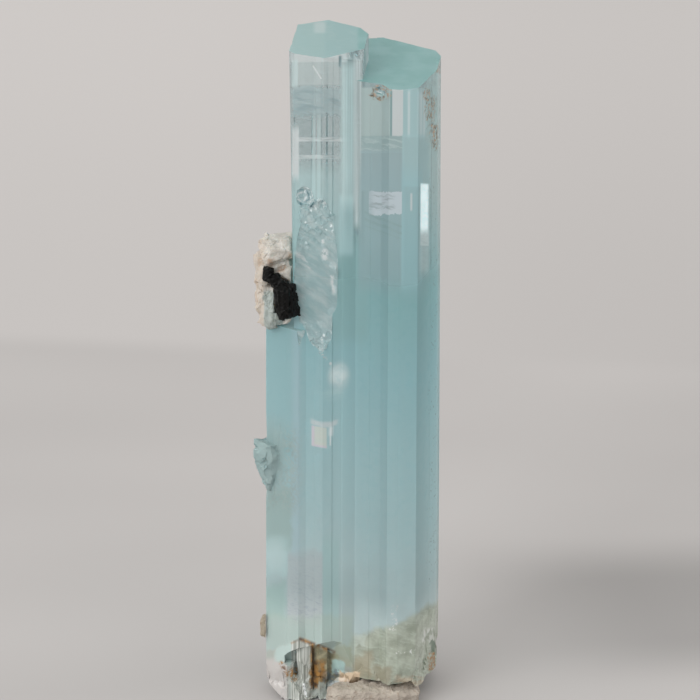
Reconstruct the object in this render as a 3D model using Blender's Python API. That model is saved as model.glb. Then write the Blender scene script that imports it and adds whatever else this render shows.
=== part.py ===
"""An aquamarine specimen: a group of six-sided prisms grown side by side, with a knob of
feldspar and a few black schorl crystals on its left shoulder, standing on a lump of feldspar.

Every mesh is built with one unit to the millimetre and brought to metres in finish(). +Z is up
and runs along the prisms, -Y is the front, and the origin is the middle of the underside.
"""

import math
import random

import bmesh
import bpy
from mathutils import Matrix, Vector, noise

METRES = 0.001  # one millimetre, the unit that the meshes are built in
GAP = 0.3  # clearance between minerals that touch
HEIGHT = 80.0  # the tall crystal's end face above the surface
RIGHT_TOP = 76.7  # the right crystal ends a little lower
SIDE_TOP = 46.6  # the slim crystal on the left ends under the knob
FACE_TURN = -6.0  # the first prism face looks this many degrees round from +X

# Each column of the group is the space inside these faces: degrees round from the first prism
# face, and the face's distance from the group's axis. The true prism faces are at multiples of
# 60 and the bevels on their edges halfway between. The others are faces that growth has turned.
TALL = {0: 2.25, 30: 2.6, 60: 3.4, 120: 6.15, 180: 6.1, 216: 8.0, 252: 7.42, 300: 5.2}
RIGHT_INNER = {0: 6.5, 60: 9.55, 102: 8.45, 180: -0.3, 253: 4.45, 300: 7.8}
RIGHT_OUTER = {0: 10.45, 24: 11.0, 60: 9.75, 102: 8.6, 180: -2.4}
RIGHT_OUTER |= {216: -0.1, 262: 6.55, 295: 9.7, 346: 10.1}
TALL_LEAN = -0.0196  # the tall crystal's left face goes in by this much for each unit down
RIGHT_LEAN = 0.0035  # and the right crystal's right face comes out
SIDE = {0: -3.6, 60: -1.1, 120: 4.2, 180: 8.8, 240: 8.4, 300: 3.6}

GROOVE_PITCH = (1.1, 3.4)  # the growth steps along a face are this wide
GROOVE_DEPTH = (0.02, 0.09)  # and stand back this far
GROOVE_RUN = 0.14  # a step's riser takes this much of the face

SCAR_CENTRE = Vector((-4.3, -7.65, 53.6))  # where a neighbour broke off the tall crystal's front
SCAR_SIZE = Vector((4.4, 2.5, 11.4))  # half widths of the hollow that it left
SHELF = 2.9  # the right crystal's broken underside above the surface
SHELF_EDGE, SHELF_DROP = 7.9, 0.8  # it is lower to the right of the lump that it stands on
SPLINTERS = [  # x, y, reach of the faces, top: slim prisms left standing in the notch
    (-4.75, -4.95, 0.9, 9.4),
    (-6.7, -4.8, 0.8, 4.6),
    (-2.9, -4.4, 0.8, 7.6),
]
NOTCH_CENTRE, NOTCH_SIZE = Vector((-3.0, -6.6, 4.2)), (8.2, 5.2, 10.6)
FOOT_TOP = SHELF - GAP
FOOT_BLOCKS = [  # left, right, front, back
    (-1.7, 8.6, -8.7, -2.0),
    (-2.2, 1.8, -8.4, -5.2),
    (0.4, 7.6, -5.4, 5.6),
]

COLOURS = {  # colour, roughness
    "aquamarine_crystal": ((0.38, 0.66, 0.68, 1), 0.08),
    "feldspar_knob": ((0.72, 0.66, 0.58, 1), 0.6),
    "schorl_crystals": ((0.01, 0.011, 0.012, 1), 0.3),
    "feldspar_flake": ((0.6, 0.52, 0.4, 1), 0.6),
    "feldspar_foot": ((0.62, 0.56, 0.48, 1), 0.75),
}


def face_normal(turn):
    """The way that a column's face looks, as a flat vector, from its place in the tables above."""
    angle = math.radians(FACE_TURN + turn)
    return Vector((math.cos(angle), math.sin(angle)))


def outline(faces, grow=0.0):
    """The corners of the space inside the faces, anticlockwise. grow moves every face out."""
    far = 60.0
    corners = [Vector(p) for p in ((-far, -far), (far, -far), (far, far), (-far, far))]
    for turn, distance in faces.items():
        normal, limit = face_normal(turn), distance + grow
        kept = []
        for here, after in zip(corners, corners[1:] + corners[:1]):
            a, b = here.dot(normal) - limit, after.dot(normal) - limit
            if a <= 0:
                kept.append(here)
            if (a < 0) != (b < 0) and a != b:
                kept.append(here.lerp(after, a / (a - b)))
        corners = kept
    return corners


def grooved(corners, seed):
    """The outline with the shallow steps along its sides that growth leaves on a beryl's faces."""
    rng = random.Random(seed)
    points = []
    for here, after in zip(corners, corners[1:] + corners[:1]):
        side = after - here
        along = side.normalized()
        inward = Vector((-along.y, along.x))
        points.append(here)
        at, depth = rng.uniform(*GROOVE_PITCH), 0.0
        while at < side.length - GROOVE_PITCH[0]:
            new_depth = 0.0 if depth else rng.uniform(*GROOVE_DEPTH)
            points.append(here + along * at + inward * depth)
            points.append(here + along * (at + GROOVE_RUN) + inward * new_depth)
            at, depth = at + rng.uniform(*GROOVE_PITCH), new_depth
        if depth:
            points.append(after - along * GROOVE_RUN * 2 + inward * depth)
            points.append(after - along * GROOVE_RUN)
    return points


def new_object(name, mesh_maker):
    """An object whose mesh is what mesh_maker leaves in a BMesh."""
    shape = bmesh.new()
    mesh_maker(shape)
    bmesh.ops.recalc_face_normals(shape, faces=shape.faces)
    mesh = bpy.data.meshes.new(name)
    shape.to_mesh(mesh)
    shape.free()
    made = bpy.data.objects.new(name, mesh)
    bpy.context.collection.objects.link(made)
    return made


def column(faces, top, bottom=-1.0, seed=None, grow=0.0):
    """A prism between two heights, whose outline is grooved when it has a seed."""
    corners = outline(faces, grow)
    if seed is not None:
        corners = grooved(corners, seed)

    def build(shape):
        low = [shape.verts.new((x, y, bottom)) for x, y in corners]
        high = [shape.verts.new((x, y, top + grow)) for x, y in corners]
        shape.faces.new(low[::-1])
        shape.faces.new(high)
        for i in range(len(corners)):
            j = (i + 1) % len(corners)
            shape.faces.new((low[i], low[j], high[j], high[i]))

    return new_object("column", build)


def cut_off(shape, point, normal):
    """Removes what lies beyond a plane, leaving it open there. Returns the cut's edges."""
    everything = [*shape.verts, *shape.edges, *shape.faces]
    cut = bmesh.ops.bisect_plane(
        shape, geom=everything, dist=1e-5, plane_co=point, plane_no=normal, clear_outer=True
    )
    return [item for item in cut["geom_cut"] if isinstance(item, bmesh.types.BMEdge)]


def cleave_object(made, point, normal):
    """Cuts an object off flat at a plane."""
    shape = bmesh.new()
    shape.from_mesh(made.data)
    rim = cut_off(shape, Vector(point), Vector(normal).normalized())
    if rim:
        bmesh.ops.triangle_fill(shape, use_beauty=True, use_dissolve=False, edges=rim)
    bmesh.ops.recalc_face_normals(shape, faces=shape.faces)
    shape.to_mesh(made.data)
    shape.free()
    return made


def wrap(shape):
    """Replaces a mesh with the tightest skin of flat faces around its points."""
    bmesh.ops.remove_doubles(shape, verts=shape.verts, dist=0.02)
    points = [vertex.co.copy() for vertex in shape.verts]
    shape.clear()
    for point in points:
        shape.verts.new(point)
    hull = bmesh.ops.convex_hull(shape, input=shape.verts)
    loose = [v for v in hull["geom_interior"] if isinstance(v, bmesh.types.BMVert)]
    bmesh.ops.delete(shape, geom=loose, context="VERTS")


def cleaved_block(centre, size, seed, cuts=16, grow=0.0, squareness=0.0, floor=None):
    """A lump with flat broken faces: a box whose corners and edges are cleaved off at random.

    Squareness 0 rounds it to an ellipsoid and 1 leaves the box. With a floor, the block ends
    in a flat face at that height.
    """
    rng = random.Random(seed)
    half = Vector(size) / 2 + Vector((grow,) * 3)

    def build(shape):
        bmesh.ops.create_cube(shape, size=2)
        bmesh.ops.scale(shape, vec=half, verts=shape.verts)
        for _ in range(cuts):
            normal = Vector([rng.gauss(0, 1) for _ in range(3)]).normalized()
            parts = Vector([abs(n) * h for n, h in zip(normal, half)])
            reach = parts.length + (sum(parts) - parts.length) * squareness
            cut_off(shape, normal * reach * rng.uniform(0.86, 1.02), normal)
        bmesh.ops.translate(shape, vec=centre, verts=shape.verts)
        if floor is not None:
            cut_off(shape, Vector((0, 0, floor)), Vector((0, 0, -1)))
        wrap(shape)

    return new_object("block", build)


def lumpy_ball(centre, half_widths, seed, roughness, fineness=4, scale=0.35):
    """A ball with an uneven surface, for the hollows that broken pieces leave."""

    def build(shape):
        bmesh.ops.create_icosphere(shape, subdivisions=fineness, radius=1)
        shift = Vector((seed * 7.3, seed * 3.1, seed * 5.7))
        for vertex in shape.verts:
            on_ball = Vector([c * h for c, h in zip(vertex.co, half_widths)])
            bump = noise.hetero_terrain(on_ball * scale + shift, 1, 2, 4, 0)
            vertex.co = centre + on_ball * (1 + roughness * (bump - 0.5))

    return new_object("hollow", build)


def schorl(centre, radius, height, seed, tilt, turn, grow=0.0):
    """A stubby black crystal: a ribbed, rounded triangle in section with low end faces."""
    rng = random.Random(seed)
    ribs = 18
    place = (
        Matrix.Translation(centre)
        @ Matrix.Rotation(math.radians(tilt), 4, "Y")
        @ Matrix.Rotation(math.radians(turn), 4, "Z")
    )

    def build(shape):
        rings = []
        for level in (-1, 1):
            ring = []
            for i in range(ribs):
                angle = math.tau * i / ribs
                bulge = 1 + 0.07 * math.cos(3 * angle) + 0.04 * (i % 2) + rng.uniform(-0.02, 0.02)
                out = radius * bulge + grow
                up = level * (height / 2 + grow)
                ring.append(shape.verts.new((out * math.cos(angle), out * math.sin(angle), up)))
            rings.append(ring)
        shape.faces.new(rings[0][::-1])
        shape.faces.new(rings[1])
        for i in range(ribs):
            j = (i + 1) % ribs
            shape.faces.new((rings[0][i], rings[0][j], rings[1][j], rings[1][i]))
        for level in (-1, 1):
            for i in range(3):
                angle = math.tau * (i + 0.3) / 3
                normal = Vector((math.cos(angle), math.sin(angle), level * 1.7)).normalized()
                peak = Vector((0, 0, level * (height * 0.5 + grow)))
                cut_off(shape, peak - Vector((0, 0, level * radius * 0.12)), normal)
        wrap(shape)
        bmesh.ops.transform(shape, matrix=place, verts=shape.verts)

    return new_object("schorl", build)


def broken_ground(height_at, left, right, front, back, bottom=-6.0, pitch=0.6):
    """A block whose upper side follows height_at(x, y): it leaves a broken underside."""
    columns = round((right - left) / pitch)
    rows = round((back - front) / pitch)

    def build(shape):
        def point(i, j, level=None):
            x = left + (right - left) * i / columns
            y = front + (back - front) * j / rows
            return shape.verts.new((x, y, height_at(x, y) if level is None else level))

        top = [[point(i, j) for i in range(columns + 1)] for j in range(rows + 1)]
        for j in range(rows):
            for i in range(columns):
                shape.faces.new((top[j][i], top[j][i + 1], top[j + 1][i + 1], top[j + 1][i]))
        rim = (
            [top[0][i] for i in range(columns + 1)]
            + [top[j][columns] for j in range(1, rows + 1)]
            + [top[rows][i] for i in range(columns - 1, -1, -1)]
            + [top[j][0] for j in range(rows - 1, 0, -1)]
        )
        low = [shape.verts.new((v.co.x, v.co.y, bottom)) for v in rim]
        for i in range(len(rim)):
            j = (i + 1) % len(rim)
            shape.faces.new((rim[i], low[i], low[j], rim[j]))
        shape.faces.new(low[::-1])
        bmesh.ops.triangulate(shape, faces=shape.faces)

    return new_object("ground", build)


def settle(made):
    """Merges the points that a Boolean leaves almost on top of each other."""
    shape = bmesh.new()
    shape.from_mesh(made.data)
    bmesh.ops.triangulate(shape, faces=shape.faces)
    bmesh.ops.remove_doubles(shape, verts=shape.verts, dist=2e-3)
    bmesh.ops.dissolve_degenerate(shape, edges=shape.edges, dist=1e-3)
    bmesh.ops.dissolve_limit(
        shape, angle_limit=math.radians(0.05), verts=shape.verts, edges=shape.edges
    )
    bmesh.ops.triangulate(shape, faces=shape.faces)
    shape.to_mesh(made.data)
    shape.free()


def combine(target, tools, operation):
    """Joins each tool to the target or cuts it away, and takes the tool out of the scene."""
    bpy.context.view_layer.objects.active = target
    for tool in tools:
        modifier = target.modifiers.new("combine", "BOOLEAN")
        modifier.operation, modifier.object, modifier.solver = operation, tool, "EXACT"
        bpy.ops.object.modifier_apply(modifier=modifier.name)
        bpy.data.objects.remove(tool)
        settle(target)
    return target


def finish(made, name):
    """Brings a mesh from millimetres to metres and gives it its name and material."""
    made.name = made.data.name = name
    made.data.transform(Matrix.Scale(METRES, 4))
    colour, roughness = COLOURS[name]
    material = bpy.data.materials.new(name)
    material.use_nodes = True
    shader = material.node_tree.nodes["Principled BSDF"]
    shader.inputs["Base Color"].default_value = colour
    shader.inputs["Roughness"].default_value = roughness
    made.data.materials.clear()
    made.data.materials.append(material)
    return made


def shelf_height(x, y):
    """The height of the right crystal's broken underside at a place."""
    rough = noise.hetero_terrain(Vector((x * 0.45, y * 0.45, 3.7)), 1, 2, 3, 0)
    drop = SHELF_DROP * min(1.0, max(0.0, (x - SHELF_EDGE) / 0.5))
    return SHELF - drop + max(0.0, 0.5 * math.floor(rough * 4) / 4 + 0.25 * rough)


def chip_height(x, y):
    """The height of the broken lower edge on the left, which is below 0 where nothing is gone."""
    rough = noise.hetero_terrain(Vector((x * 0.6, y * 0.6, 1.7)), 1, 2, 3, 0)
    return max(-2.0, min(3.2, -0.4 - (x + 6.5) * 0.75 + 0.4 * rough))


def leaning_face(made, turn, distance, lean):
    """Cuts a column back to a face that leans: its distance is the one at the tall top."""
    flat = face_normal(turn)
    cleave_object(made, (*(flat * distance), HEIGHT), (*flat, lean))


def crystal_columns(grow=0.0, grooves=True):
    """The four columns of the group."""
    seeds = (11, 12, 13, 14) if grooves else (None,) * 4
    tall = column(TALL, HEIGHT, seed=seeds[0], grow=grow)
    leaning_face(tall, 180, TALL[180] + grow, TALL_LEAN)
    right = column(RIGHT_OUTER, RIGHT_TOP + 1, seed=seeds[1], grow=grow)
    leaning_face(right, 0, RIGHT_OUTER[0] - 0.2 + grow, RIGHT_LEAN)
    inner = column(RIGHT_INNER, RIGHT_TOP + 1, seed=seeds[2], grow=grow)
    side = column(SIDE, SIDE_TOP, seed=seeds[3], grow=grow)
    return tall, right, inner, side


def splinters(grow=0.0):
    """The slim prisms that are left standing in the notch at the broken base."""
    made = []
    for number, (x, y, reach, top) in enumerate(SPLINTERS):
        faces = {k: reach + face_normal(k).dot(Vector((x, y))) for k in range(0, 360, 60)}
        made.append(column(faces, top, seed=None if grow else 30 + number, grow=grow))
    return made


def notch(grow=0.0):
    """The broken hollow at the foot of the tall crystal's front."""
    return cleaved_block(NOTCH_CENTRE, NOTCH_SIZE, seed=21, cuts=18, grow=grow)


def build_crystal():
    """The aquamarine, one piece: its columns, the plate on its left side and its broken parts."""
    tall, right, inner, side = crystal_columns()
    combine(right, [inner], "UNION")
    cleave_object(right, (0, 0, RIGHT_TOP), (0, 0, 1))
    combine(right, [broken_ground(shelf_height, -4.0, 13.0, -9.0, 11.0)], "DIFFERENCE")
    cleave_object(tall, (1.0, -5.0, 79.4), (0.45, -0.62, 0.64))
    crystal = combine(tall, [side], "UNION")
    combine(crystal, [broken_ground(chip_height, -12.0, 4.0, -9.0, 9.0)], "DIFFERENCE")
    combine(crystal, [right], "UNION")

    plate = cleaved_block(Vector((-8.95, -3.9, 29.9)), (3.5, 3.3, 7.8), seed=5, cuts=30)
    combine(crystal, [plate], "UNION")

    scar = lumpy_ball(SCAR_CENTRE, SCAR_SIZE, 2, 0.1, fineness=5, scale=0.5)
    chip = lumpy_ball(Vector((-5.0, -6.3, 62.9)), Vector((1.3, 1.3, 1.6)), 3, 0.2, fineness=2)
    pit = lumpy_ball(Vector((3.5, -6.9, 75.9)), Vector((0.95, 1.2, 0.85)), 4, 0.2, fineness=2)
    scoops = [
        lumpy_ball(Vector((2.5, -8.1, 2.6)), Vector((2.4, 1.8, 2.6)), 6, 0.2, fineness=3),
        lumpy_ball(Vector((6.6, -9.1, 2.2)), Vector((3.2, 1.9, 2.1)), 7, 0.25, fineness=3),
        lumpy_ball(Vector((12.3, -3.6, 1.8)), Vector((2.0, 3.2, 2.4)), 8, 0.2, fineness=3),
        lumpy_ball(Vector((2.4, 9.4, 4.6)), Vector((4.5, 2.0, 3.2)), 9, 0.25, fineness=3),
    ]
    combine(crystal, [scar, chip, pit, notch(), *scoops], "DIFFERENCE")
    combine(crystal, splinters(), "UNION")
    cleave_object(crystal, (0, 0, 0), (0, 0, -1))
    return finish(crystal, "aquamarine_crystal")


KNOB_BLOCKS = [  # centre, size
    ((-7.9, -2.4, 55.4), (4.0, 4.6, 3.9)),
    ((-9.1, -2.7, 52.9), (2.7, 3.9, 4.4)),
    ((-7.3, -2.7, 52.2), (3.2, 4.2, 4.6)),
    ((-9.5, -2.9, 49.3), (1.7, 2.8, 5.0)),
    ((-8.2, -3.3, 48.8), (3.2, 5.4, 4.6)),
    ((-8.1, 0.4, 51.6), (3.4, 3.8, 8.4)),
    ((-6.9, -3.4, 55.6), (2.2, 2.4, 2.6)),
]
SCHORLS = [  # centre, radius, height, tilt, turn
    ((-6.95, -6.0, 50.2), 1.25, 4.9, -8.0, 20.0),
    ((-9.0, -4.9, 53.0), 0.55, 2.1, 12.0, 45.0),
    ((-8.2, -5.2, 52.4), 0.75, 1.9, -35.0, 10.0),
    ((-7.4, -5.5, 51.9), 0.75, 1.9, 40.0, 70.0),
]


def schorl_group(grow=0.0):
    """The black crystals, which have grown into each other, as one piece."""
    first, *others = [
        schorl(Vector(centre), radius, height, seed, tilt, turn, grow)
        for seed, (centre, radius, height, tilt, turn) in enumerate(SCHORLS)
    ]
    return combine(first, others, "UNION")


def build_schorl():
    """The black crystals, kept clear of the aquamarine behind them."""
    group = combine(schorl_group(), crystal_columns(GAP, grooves=False), "DIFFERENCE")
    return finish(group, "schorl_crystals")


def build_knob():
    """The pale knob on the left shoulder, cut to fit its neighbours."""
    first, *others = [
        cleaved_block(Vector(centre), size, seed=40 + number)
        for number, (centre, size) in enumerate(KNOB_BLOCKS)
    ]
    knob = combine(first, others, "UNION")
    combine(knob, [*crystal_columns(GAP, grooves=False), schorl_group(GAP)], "DIFFERENCE")
    return finish(knob, "feldspar_knob")


def build_flake():
    """The thin flake low on the left side."""
    flake = cleaved_block(Vector((-9.45, -3.3, 8.6)), (0.9, 1.5, 4.1), seed=61, cuts=14)
    combine(flake, crystal_columns(GAP, grooves=False), "DIFFERENCE")
    return finish(flake, "feldspar_flake")


def build_foot():
    """The pale lump under the right crystal, with a flat underside to stand on."""
    blocks = []
    for number, (left, right, front, back) in enumerate(FOOT_BLOCKS):
        middle = Vector(((left + right) / 2, (front + back) / 2, 0))
        size = (right - left, back - front, 2 * FOOT_TOP)
        seed = 71 + number
        blocks.append(cleaved_block(middle, size, seed, cuts=48, squareness=0.6, floor=0.0))
    foot = combine(blocks[0], blocks[1:], "UNION")
    tall, *others = crystal_columns(GAP, grooves=False)
    for unused in others:
        bpy.data.objects.remove(unused)
    combine(tall, [notch(-GAP)], "DIFFERENCE")
    combine(foot, [tall, *splinters(GAP)], "DIFFERENCE")
    return finish(foot, "feldspar_foot")


def main():
    for existing in list(bpy.data.objects):
        bpy.data.objects.remove(existing)
    build_crystal()
    build_schorl()
    build_knob()
    build_flake()
    build_foot()


main()
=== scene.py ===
# %% [markdown]
# # An aquamarine specimen
# A group of clear blue-green beryl prisms stands on a pale stone. This lesson dresses the solid
# model: it gives each mineral its finish, roughens the places where the crystal broke, and paints
# on it the veils and cracks that make a natural crystal look real.
# The solid model is loaded first and never moved, so every length below is a real one.

# %% Load the solid model
import math

import bmesh
import bpy
from mathutils import Matrix, Vector, noise


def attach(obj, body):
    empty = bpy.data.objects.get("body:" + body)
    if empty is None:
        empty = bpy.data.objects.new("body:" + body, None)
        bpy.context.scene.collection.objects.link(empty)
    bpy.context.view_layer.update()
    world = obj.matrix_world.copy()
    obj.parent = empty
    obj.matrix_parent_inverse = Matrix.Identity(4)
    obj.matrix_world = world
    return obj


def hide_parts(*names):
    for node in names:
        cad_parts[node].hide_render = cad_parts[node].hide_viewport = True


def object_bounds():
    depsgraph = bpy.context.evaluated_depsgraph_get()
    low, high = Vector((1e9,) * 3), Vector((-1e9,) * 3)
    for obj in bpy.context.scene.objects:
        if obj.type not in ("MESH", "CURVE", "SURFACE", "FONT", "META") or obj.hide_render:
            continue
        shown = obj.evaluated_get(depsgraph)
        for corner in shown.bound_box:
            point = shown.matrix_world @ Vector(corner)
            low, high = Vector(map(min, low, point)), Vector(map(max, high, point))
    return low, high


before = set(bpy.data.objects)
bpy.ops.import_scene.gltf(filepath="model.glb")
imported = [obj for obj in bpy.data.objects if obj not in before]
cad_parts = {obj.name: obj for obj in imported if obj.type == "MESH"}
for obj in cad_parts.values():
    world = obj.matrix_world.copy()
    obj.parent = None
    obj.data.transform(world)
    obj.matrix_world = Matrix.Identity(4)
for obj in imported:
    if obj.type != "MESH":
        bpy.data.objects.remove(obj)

MM = 0.001
cad_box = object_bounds()
print("nodes:", ", ".join(sorted(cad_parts)))
print("box in mm:", [[round(c / MM, 1) for c in corner] for corner in cad_box])

# %% [markdown]
# ## The camera
# A small object is photographed with a long lens from about a metre away, so its upright edges
# stay nearly parallel. The camera looks down by 22 degrees, which shows both flat tops.

# %% Camera
LOOK_AT = Vector((0.375, 0.0, 41.75)) * MM
LOOK_DOWN = math.radians(22)
DISTANCE = 1.0


def place_camera():
    """A camera at the viewing distance, turned to the middle of the specimen."""
    lens = bpy.data.cameras.new("camera")
    lens.sensor_width, lens.lens, lens.clip_start = 36, 447, 0.01
    camera = bpy.data.objects.new("camera", lens)
    bpy.context.collection.objects.link(camera)
    back = Vector((0, -math.cos(LOOK_DOWN), math.sin(LOOK_DOWN)))
    camera.location = LOOK_AT + back * DISTANCE
    turned = (-back).to_track_quat("-Z", "Y").to_matrix().to_4x4()
    camera.rotation_euler = (turned @ Matrix.Rotation(math.radians(0.2), 4, "Z")).to_euler()
    bpy.context.scene.camera = camera
    print("camera at", [round(c, 3) for c in camera.location])


place_camera()

# %% [markdown]
# ## Shader maths
# A material is a graph of nodes. Writing the graph as Python expressions keeps it readable, so
# one small class wraps a node's output and turns + - * / into Math nodes.

# %% Sockets that do sums


class Value:
    """A number that varies over a surface."""

    def __init__(self, finish, socket):
        self.finish, self.socket = finish, socket

    def _math(self, operation, first, second=0.0):
        node = self.finish.node("ShaderNodeMath", {"operation": operation}, [first, second])
        return Value(self.finish, node.outputs[0])

    def __add__(self, other):
        return self._math("ADD", self, other)

    def __radd__(self, other):
        return self._math("ADD", other, self)

    def __sub__(self, other):
        return self._math("SUBTRACT", self, other)

    def __rsub__(self, other):
        return self._math("SUBTRACT", other, self)

    def __mul__(self, other):
        return self._math("MULTIPLY", self, other)

    def __rmul__(self, other):
        return self._math("MULTIPLY", other, self)

    def __truediv__(self, other):
        return self._math("DIVIDE", self, other)

    def __rtruediv__(self, other):
        return self._math("DIVIDE", other, self)

    def __pow__(self, other):
        return self._math("POWER", self, other)

    def least(self, other):
        return self._math("MINIMUM", self, other)

    def most(self, other):
        return self._math("MAXIMUM", self, other)

    def sine(self):
        return self._math("SINE", self)

    def size(self):
        return self._math("ABSOLUTE", self)

    def step(self, start, end, low=0.0, high=1.0):
        """Eases from low to high as the value passes from start to end."""
        inputs = {"Value": self, "From Min": start, "From Max": end, "To Min": low, "To Max": high}
        settings = {"interpolation_type": "SMOOTHSTEP"}
        node = self.finish.node("ShaderNodeMapRange", settings, inputs)
        return Value(self.finish, node.outputs["Result"])

    def between(self, low, high, soft):
        """1 from low to high, easing to 0 over the soft width outside them."""
        return self.step(low - soft, low) * self.step(high, high + soft, 1.0, 0.0)


class Finish:
    """A material, or the world, while its nodes are being laid."""

    def __init__(self, name, tree=None):
        if tree is None:
            self.material = bpy.data.materials.new(name)
            self.material.use_nodes = True
            tree = self.material.node_tree
        self.tree = tree
        tree.nodes.clear()

    def node(self, kind, settings=None, inputs=None):
        """Adds a node: its settings first, then the values or links of its sockets."""
        made = self.tree.nodes.new(kind)
        for name, value in (settings or {}).items():
            if name == "stops":
                self._stops(made, value)
            else:
                setattr(made, name, value)
        items = inputs.items() if isinstance(inputs, dict) else enumerate(inputs or [])
        for key, value in items:
            self._feed(made.inputs[key], value)
        return made

    def _stops(self, ramp, stops):
        points = ramp.color_ramp.elements
        while len(points) < len(stops):
            points.new(0.5)
        for point, (position, colour) in zip(points, stops):
            point.position, point.color = position, (*colour, 1)

    def _feed(self, socket, value):
        if isinstance(value, Value):
            value = value.socket
        if isinstance(value, bpy.types.NodeSocket):
            self.tree.links.new(value, socket)
        elif hasattr(socket.default_value, "__len__") and len(value) < len(socket.default_value):
            socket.default_value = (*value, 1)
        else:
            socket.default_value = value

    def place(self):
        """Where a point of the surface is, in millimetres: (x, y, z, the vector)."""
        coordinates = self.node("ShaderNodeTexCoord").outputs["Object"]
        inputs = {0: coordinates, "Scale": 1 / MM}
        vector = self.node("ShaderNodeVectorMath", {"operation": "SCALE"}, inputs).outputs[0]
        parts = self.node("ShaderNodeSeparateXYZ", {}, [vector]).outputs
        return [*(Value(self, part) for part in parts), vector]

    def stretched(self, vector, scale):
        """The vector with each axis scaled, to draw a pattern out along an axis."""
        settings = {"operation": "MULTIPLY"}
        return self.node("ShaderNodeVectorMath", settings, [vector, scale]).outputs[0]

    def grain(self, vector, scale, detail=4.0, roughness=0.5, lacunarity=2.0, distortion=0.0):
        """Cloudy noise, from 0 to 1."""
        inputs = {"Vector": vector, "Scale": scale, "Detail": detail, "Roughness": roughness}
        inputs |= {"Lacunarity": lacunarity, "Distortion": distortion}
        return Value(self, self.node("ShaderNodeTexNoise", {}, inputs).outputs["Fac"])

    def cells(self, vector, scale, feature="F1", randomness=1.0):
        """The distance to the nearest of many scattered points."""
        inputs = {"Vector": vector, "Scale": scale, "Randomness": randomness}
        node = self.node("ShaderNodeTexVoronoi", {"feature": feature}, inputs)
        return Value(self, node.outputs["Distance"])

    def blend(self, first, second, amount):
        """One colour where amount is 0 and the other where it is 1."""
        settings = {"data_type": "RGBA", "clamp_factor": True}
        inputs = {0: amount, 6: first, 7: second}
        return self.node("ShaderNodeMix", settings, inputs).outputs[2]

    def bump(self, height, depth, normal=None):
        """A normal for relief whose height of 1 stands depth millimetres high."""
        inputs = {"Height": height, "Distance": depth * MM, "Strength": 1.0}
        if normal is not None:
            inputs["Normal"] = normal
        return self.node("ShaderNodeBump", {}, inputs).outputs[0]

    def shader(self, **sockets):
        """A Principled shader. Names take _ for the space in a socket's name."""
        inputs = {name.replace("_", " "): value for name, value in sockets.items()}
        return self.node("ShaderNodeBsdfPrincipled", {}, inputs).outputs[0]

    def mix(self, first, second, amount):
        return self.node("ShaderNodeMixShader", {}, [amount, first, second]).outputs[0]

    def done(self, surface, volume=None):
        inputs = {"Surface": surface}
        if volume is not None:
            inputs["Volume"] = volume
        self.node("ShaderNodeOutputMaterial", {}, inputs)
        self.material.cycles.emission_sampling = "NONE"
        return self.material


def dress(piece, material):
    """Gives a piece one material."""
    piece.data.materials.clear()
    piece.data.materials.append(material)


# %% [markdown]
# ## The studio
# Clear crystal has almost no look of its own: it shows the room, bent and doubled. So the room
# matters more here than for any opaque object. It is a soft pale tent, even grey all round,
# brighter above and at two sides, and darker behind the camera.

# %% World and lights


def light_tent():
    """The room around the specimen."""
    world = bpy.data.worlds.new("tent")
    bpy.context.scene.world = world
    world.cycles.sampling_method = "NONE"  # an almost even room needs no light rays of its own
    world.use_nodes = True
    room = Finish("tent", world.node_tree)
    vector = room.node("ShaderNodeTexCoord").outputs["Generated"]
    x, y, z = (Value(room, s) for s in room.node("ShaderNodeSeparateXYZ", {}, [vector]).outputs)
    overhead = z.step(0.35, 0.85) * 0.5
    left_panel = x.step(-0.6, -0.85) * z.between(-0.1, 0.5, 0.1) * 0.6
    right_panel = x.step(0.75, 0.95) * z.between(-0.1, 0.45, 0.1) * 0.4
    behind_camera = y.step(-0.6, -0.9) * 0.15
    level = 0.52 + overhead + left_panel + right_panel - behind_camera
    inputs = {"Color": (1.0, 0.985, 0.97), "Strength": level}
    sky = room.node("ShaderNodeBackground", {}, inputs).outputs[0]
    room.node("ShaderNodeOutputWorld", {}, {"Surface": sky})


def soft_light(name, position, size, power):
    """A square light panel that faces the specimen."""
    data = bpy.data.lights.new(name, "AREA")
    data.size, data.energy = size, power
    light = bpy.data.objects.new(name, data)
    bpy.context.collection.objects.link(light)
    light.location = position
    aim = (LOOK_AT - Vector(position)).to_track_quat("-Z", "Y")
    light.rotation_euler = aim.to_euler()


light_tent()
soft_light("key", (-0.6, -0.75, 0.6), 0.5, 4.5)
soft_light("fill", (0.8, 0.1, 0.55), 0.4, 1.2)
scene = bpy.context.scene
scene.view_settings.view_transform = "Standard"
scene.cycles.max_bounces = 7
scene.cycles.transmission_bounces = 6
scene.cycles.glossy_bounces = 3
scene.cycles.diffuse_bounces = 2
scene.cycles.transparent_max_bounces = 8

# %% [markdown]
# ## The table
# One sheet of pale board lies under the specimen. A little behind it the sheet is painted as the
# lighter wall of the tent, so one soft line crosses the view. The board is faintly glossy, broad
# soft patches lie across it, and a soft shadow is painted on it to the right of the specimen.

# %% Table


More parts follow.
